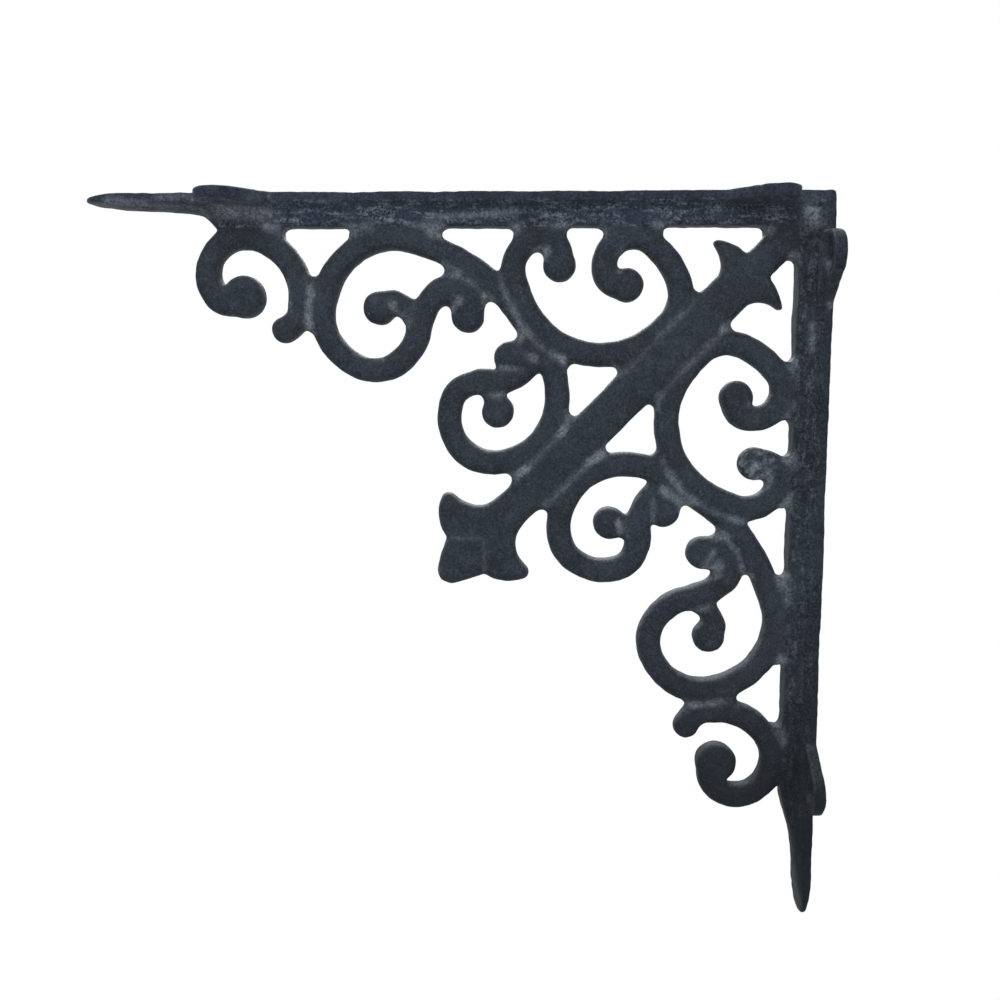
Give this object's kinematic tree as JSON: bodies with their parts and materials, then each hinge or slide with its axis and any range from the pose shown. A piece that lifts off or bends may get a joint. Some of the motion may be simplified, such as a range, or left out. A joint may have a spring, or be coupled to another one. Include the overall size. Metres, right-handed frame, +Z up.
{
  "type": "shelf bracket",
  "caption": "Ornamental scroll shelf bracket: right-angled arms with screw ears, a diagonal brace with a fishtail foot and coped scrollwork, for holding a shelf to a wall.",
  "frame": {"origin": "the outer corner, where the wall face and the shelf face meet on the bracket's middle plane", "axes": "+X out of the back into the wall, +Z up into the shelf, Y across the bracket; the shelf arm runs to -X and the wall arm down to -Z"},
  "size_m": [0.198, 0.0328, 0.201],
  "materials": {
    "black_iron": "matte blue-black paint over a rough casting"
  },
  "bodies": {
    "root": {"shelf_strap": "black_iron", "shelf_rib": "black_iron", "shelf_corner_scroll": "black_iron", "shelf_s_scroll": "black_iron", "shelf_ring_curl": "black_iron", "shelf_foot_curl": "black_iron", "shelf_end_scroll": "black_iron", "shelf_fillets": "black_iron", "wall_strap": "black_iron", "wall_rib": "black_iron", "wall_corner_scroll": "black_iron", "wall_s_scroll": "black_iron", "wall_ring_curl": "black_iron", "wall_foot_curl": "black_iron", "wall_end_scroll": "black_iron", "wall_fillets": "black_iron", "brace": "black_iron", "brace_finial": "black_iron"}
  },
  "joints": []
}
